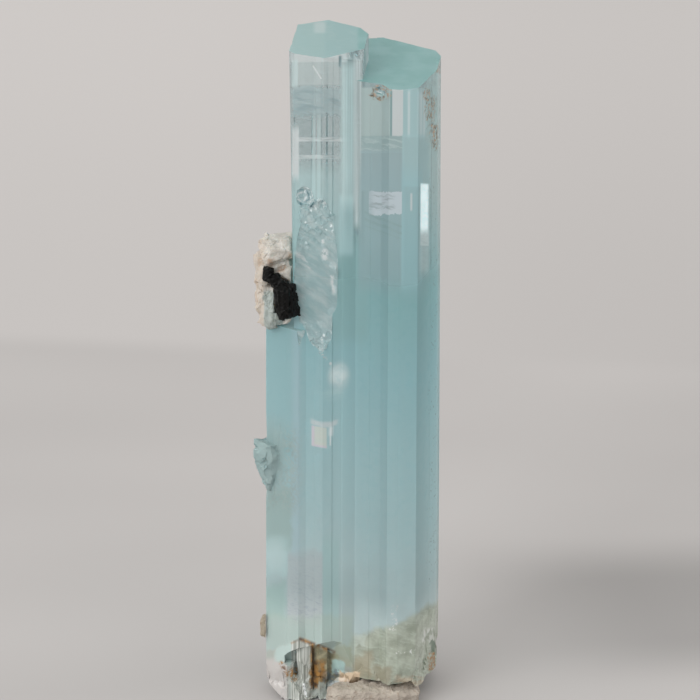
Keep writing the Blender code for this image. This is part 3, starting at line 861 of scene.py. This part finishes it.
def paint_left_foot(look):
    """The notch at the left: grey clear splinters under a roof edged with rust."""
    x, up, mist, crumbs = look.x, look.up, look.mist, look.crumbs
    band = look.patch(-9.0, 0.6, 7.2, 10.8, 0.4, 0.8)
    look.lay(band * 0.6, shade(150, 165, 157), 0.8)
    roof = 8.45 - (x + 5.44).size() * 0.42 + (mist - 0.5) * 1.2
    under = (roof - up).step(-0.15, 0.3) * x.step(0.7, 0.3) * look.front
    look.lay(under, shade(158, 164, 158), 0.7)
    corner = under * x.step(-6.3, -7.2) * up.step(6.3, 5.4)
    look.lay(corner, shade(170, 166, 163), 0.8)
    look.lay(under * look.patch(-8.0, -6.3, 5.4, 8.4, 0.3) * 0.8, shade(160, 178, 175), 0.85)
    grooves = look.long_noise((5.0, 5.0, 0.06))
    column = under * look.box(-6.2, -4.0, 0.0, 9.0, 0.15)
    groove_colour = look.blend(shade(112, 115, 108), shade(184, 186, 181), grooves.step(0.38, 0.62))
    look.lay(column * 0.8, groove_colour, 0.8)
    olive = look.patch(-3.9, -1.0, 3.2, 7.6, 0.3, 0.5)
    olive_colour = look.blend(shade(88, 80, 48), shade(150, 142, 112), mist.step(0.35, 0.65))
    look.lay(under * olive * 0.85, olive_colour, 0.9)
    look.lay(look.patch(-1.0, 0.5, 5.4, 7.4, 0.3, 0.4) * 0.7, shade(140, 146, 126), 0.85)
    look.lay(look.patch(-1.4, -0.2, 4.1, 5.6, 0.2) * 0.8, shade(152, 182, 182), 0.9)
    dark = look.patch(-2.5, -1.1, 2.0, 4.1, 0.3) * crumbs.step(0.36, 0.58)
    look.lay(dark * 0.8, shade(92, 102, 108), 0.9)
    stone = look.patch(-0.6, 1.4, 2.6, 4.1, 0.2)
    look.lay(stone, look.blend(shade(96, 70, 44), shade(172, 154, 132), (up + mist * 2.0).step(3.6, 4.4)), 0.97)
    glints = look.line(-4.85, 2.7, -4.6, 1.1, 0.2) * crumbs.step(0.44, 0.54)
    look.lay(glints, shade(250, 250, 250), 0.95)
    look.shine(glints * 0.2)


def paint_rust(look):
    """Iron that has crept along the cracks of the foot and dirt on the weathered edges."""
    crumbs, mist = look.crumbs, look.mist
    rust = look.line(-6.3, 7.9, -5.2, 8.5, 0.2) * 0.5
    rust = rust.most(look.line(-5.3, 8.45, -3.7, 7.8, 0.35))
    rust = rust.most(look.line(-3.9, 7.9, -3.85, 5.6, 0.3))
    rust = rust.most(look.line(-3.2, 7.6, -1.4, 6.7, 0.35) * mist.step(0.3, 0.55))
    rust = rust.most(look.patch(-3.9, -2.5, 2.6, 5.4, 0.3, 0.5) * mist.step(0.30, 0.58))
    rust = rust.most(look.line(-7.5, 5.4, -6.8, 3.8, 0.35) * crumbs.step(0.34, 0.55))
    rust = rust.most(look.patch(-6.4, -5.8, 3.4, 4.7, 0.15) * crumbs.step(0.38, 0.56))
    brown = look.blend((0.13, 0.055, 0.02), (0.50, 0.24, 0.05), look.grain(look.at, 1.3).step(0.40, 0.60))
    look.lay(rust * 0.9, brown, 0.95)
    ring = ((look.x - 3.7) / 1.25) ** 2 + ((look.up - 75.9) / 0.9) ** 2
    ring = ring.between(0.35, 1.0, 0.3) * look.front
    spots = ring.most(look.patch(8.6, 9.2, 75.2, 76.2, 0.2))
    spots = spots.most(look.patch(9.0, 9.7, 73.0, 75.4, 0.3))
    spots = spots.most(look.patch(9.6, 10.9, 69.8, 72.2, 0.3))
    side = look.y.step(3.0, 2.0) * look.x.step(9.8, 10.1)
    spots = spots.most(side * look.rise.between(78.6, 80.2, 0.3))
    speck_colour = look.blend(shade(88, 66, 44), shade(170, 128, 92), look.grain(look.at, 3.0).step(0.40, 0.60))
    look.lay(spots * crumbs.step(0.47, 0.56), speck_colour, 0.95)


# %% Aquamarine: the skin and the whole


def paint_weathered(look):
    """The right side: dull and greenish, with many small dark specks, browner higher up."""
    look.lay(look.dull * 0.8, look.blend(look.milk, (0.60, 0.76, 0.74), look.z.step(48, 66)), 0.85)
    dots = look.cells(look.stretched(look.at, (1.0, 1.0, 0.8)), 2.3).step(0.30, 0.14)
    dots = dots * look.grain(look.at, 0.5, detail=3).step(0.42, 0.58)
    speck_colour = look.blend((0.11, 0.11, 0.09), (0.30, 0.22, 0.15), look.z.step(60, 70))
    look.lay(look.dull * dots * 0.8, speck_colour, 0.9)


def relief(look):
    """Growth lines up the faces, pits on the right side, crumbs where the crystal broke."""
    pits = look.cells(look.stretched(look.at, (1.0, 1.0, 0.7)), 1.9)
    bump = look.bump(look.lines * 0.5 + look.wisps * 0.1, 0.02)
    uneven = look.scar * look.crumbs * 0.6 - look.dull * pits
    return look.bump(uneven, 0.12, bump)


def soft_normal(look, bump):
    """Light that wanders through the milk hardly shows the facets it comes out of."""
    inputs = [(look.x - 0.5) * 0.35, look.y - 1.0, 1.0]
    outward = look.node("ShaderNodeCombineXYZ", {}, inputs).outputs[0]
    settings = {"operation": "NORMALIZE"}
    outward = look.node("ShaderNodeVectorMath", settings, [outward]).outputs[0]
    share = (1.0 - look.scar * 0.7) * look.z.step(8, 14) * look.nz.step(0.7, 0.4) * 0.7
    mixed = look.blend(bump, outward, share)
    return look.node("ShaderNodeVectorMath", settings, [mixed]).outputs[0]


def crystal_finish():
    look = Look()
    bump = relief(look)
    smooth = soft_normal(look, bump)
    rough = 0.05 + look.z.step(60, 50) * 0.28 + look.flaw * 0.08
    paint_body(look)
    paint_tall_top(look)
    paint_right_top(look)
    paint_windows(look)
    paint_middle(look)
    paint_left(look)
    paint_scar(look)
    paint_milky_foot(look)
    paint_left_foot(look)
    paint_weathered(look)
    paint_rust(look)
    paint_ends(look)

    glass = look.shader(
        Base_Color=look.tint, Roughness=rough, IOR=1.577, Transmission_Weight=1.0, Normal=bump
    )
    # painted light: the cloudy layer gives out the glow as emission
    lit = look.blend((0.0, 0.0, 0.0), (0.80, 0.97, 1.0), look.glow)
    cloudy = look.shader(
        Base_Color=look.milk, Roughness=0.2, Normal=smooth, Emission_Color=lit, Emission_Strength=1.0
    )
    through = look.node("ShaderNodeBsdfTranslucent", {}, {"Color": (0.54, 0.80, 0.84)}).outputs[0]
    cloudy = look.mix(cloudy, through, look.z.step(9.0, 15.0) * 0.35)
    inputs = {"Color": (0.0, 0.72, 0.78), "Density": 18.0}
    volume = look.node("ShaderNodeVolumeAbsorption", {}, inputs).outputs[0]
    return look.done(look.mix(glass, cloudy, look.haze), volume)


dress(crystal, crystal_finish())

# %% [markdown]
# ## The small minerals
# Feldspar cleaves into pale blocks, and schorl grows as ribbed black prisms. Each starts as its
# solid, which is rebuilt as an even net of small faces. The net is then pushed about: blocky
# planes for feldspar, ribs and pits for schorl.

# %% Rebuild and push a solid


def rebuilt(node, name, fineness, push, grow=0.0):
    """A piece as an even net of faces, each point pushed out by push(point, normal)."""
    piece = piece_from(node, name)
    bpy.context.view_layer.objects.active = piece
    modifier = piece.modifiers.new("even_net", "REMESH")
    modifier.mode, modifier.voxel_size = "VOXEL", fineness * MM
    bpy.ops.object.modifier_apply(modifier=modifier.name)
    shape = bmesh.new()
    shape.from_mesh(piece.data)
    shape.normal_update()
    moves = [v.normal * (push(v.co / MM, v.normal) + grow) * MM for v in shape.verts]
    for vertex, move in zip(shape.verts, moves):
        vertex.co = within_box(vertex.co + move)
    shape.to_mesh(piece.data)
    shape.free()
    print(name, "faces:", len(piece.data.polygons))
    return piece


def knob_push(point, normal):
    blocks = facets(point, 2.1, 1.0) * 0.30 + facets(point, 0.9, 4.0) * 0.09
    return blocks + noise.noise(point * 1.6) * 0.08


def schorl_push(point, normal):
    angle = math.atan2(point.y + 6.0, point.x + 6.95)
    ribs = 0.05 * math.cos(angle * 14) if point.z < 52.4 else 0.0
    return ribs + facets(point, 0.6, 6.0) * 0.10 + noise.noise(point * 5.0) * 0.04


def foot_push(point, normal):
    soft = noise.fractal(point * 0.8, 0.6, 2.0, 4) * 0.22
    return facets(point, 2.4, 2.5) * 0.2 + soft - 0.12


def flake_push(point, normal):
    return facets(point, 0.9, 7.5) * 0.08 + noise.noise(point * 2.5) * 0.05


knob = rebuilt("feldspar_knob", "knob", 0.14, knob_push, 0.12)
schorl = rebuilt("schorl_crystals", "schorl", 0.09, schorl_push, 0.03)
foot = rebuilt("feldspar_foot", "foot", 0.2, foot_push)
flake = rebuilt("feldspar_flake", "flake", 0.1, flake_push, 0.0)

# %% [markdown]
# ### Feldspar, schorl and stone
# Feldspar is cream with a glassy lustre on its cleavages and iron stain where it is weathered.
# Schorl is black and shiny. The stone below is the dull, faintly pink side of the same rock.

# %% Finishes of the small minerals


def knob_finish():
    finish = Finish("feldspar")
    x, y, z, at = finish.place()
    up = z + (y + 7.0) * 0.4
    patch = finish.grain(at, 0.8, detail=4)
    fine = finish.grain(at, 4.0, detail=5, roughness=0.65)
    wx, wu = x + (patch - 0.5) * 0.9, up + (patch - 0.5) * 0.9
    cream = finish.blend((0.50, 0.47, 0.42), (0.70, 0.68, 0.63), (patch * 0.6 + fine * 0.4).step(0.35, 0.65))
    warm = wx.step(-9.0, -9.8) * 0.5
    cream = finish.blend(cream, (0.62, 0.53, 0.44), warm)
    stain = wx.between(-8.7, -8.5, 0.6) * wu.between(55.2, 55.6, 0.6)
    stain = stain.most(wx.between(-7.6, -7.3, 0.5) * wu.between(54.5, 54.7, 0.5))
    stain = stain.most(wx.between(-6.6, -6.4, 0.4) * wu.between(55.8, 56.2, 0.6) * 0.8)
    stain = stain.most(wx.between(-10.1, -9.9, 0.4) * wu.between(55.0, 55.5, 0.6) * 0.7)
    stain = stain * fine.step(0.30, 0.55)
    stain = stain.most(wx.step(-9.7, -10.1) * patch.step(0.50, 0.62) * 0.5)
    brown = finish.blend((0.22, 0.12, 0.06), (0.48, 0.32, 0.20), fine.step(0.35, 0.65))
    cream = finish.blend(cream, brown, stain * 0.85)
    clear = wx.between(-9.3, -7.4, 0.3) * wu.step(52.2, 51.6)
    grooves = finish.grain(finish.stretched(at, (4.0, 4.0, 0.3)), 1.0, detail=3).step(0.35, 0.65)
    glassy = finish.blend((0.24, 0.29, 0.27), (0.42, 0.48, 0.46), grooves)
    cream = finish.blend(cream, glassy, clear * 0.9)
    bump = finish.bump(fine, 0.03)
    stone = finish.shader(
        Base_Color=cream, Roughness=0.25 + fine * 0.35, Normal=bump, Subsurface_Weight=0.25,
        Subsurface_Radius=(0.002, 0.0016, 0.0012), Subsurface_Scale=0.5,
    )
    return finish.done(stone)


def schorl_finish():
    finish = Finish("schorl")
    x, y, z, at = finish.place()
    fine = finish.grain(at, 3.0, detail=5, roughness=0.6)
    ribs = finish.grain(finish.stretched(at, (6.0, 6.0, 0.5)), 1.0, detail=3)
    black = finish.blend((0.001, 0.0012, 0.0012), (0.005, 0.005, 0.0045), fine)
    bump = finish.bump(ribs * 0.5 + fine, 0.08)
    gloss = 0.08 + fine * 0.25
    return finish.done(
        finish.shader(Base_Color=black, Roughness=gloss, Specular_IOR_Level=0.16, Normal=bump)
    )


def stone_finish(name, light, dark, stain):
    finish = Finish(name)
    x, y, z, at = finish.place()
    broad = finish.grain(at, 0.5, detail=3)
    fine = finish.grain(at, 5.0, detail=5, roughness=0.7)
    colour = finish.blend(dark, light, (broad * 0.6 + fine * 0.4).step(0.35, 0.6))
    colour = finish.blend(colour, stain, finish.grain(at, 1.7, detail=3).step(0.58, 0.7) * 0.6)
    bump = finish.bump(fine + broad * 0.5, 0.12)
    return finish.done(finish.shader(Base_Color=colour, Roughness=0.7, Normal=bump))


dress(knob, knob_finish())
dress(schorl, schorl_finish())
dress(foot, stone_finish("pale_stone", (0.60, 0.54, 0.46), (0.46, 0.40, 0.34), (0.42, 0.32, 0.24)))
dress(
    flake,
    stone_finish("stained_feldspar", (0.50, 0.44, 0.34), (0.28, 0.22, 0.15), (0.2, 0.1, 0.04)),
)
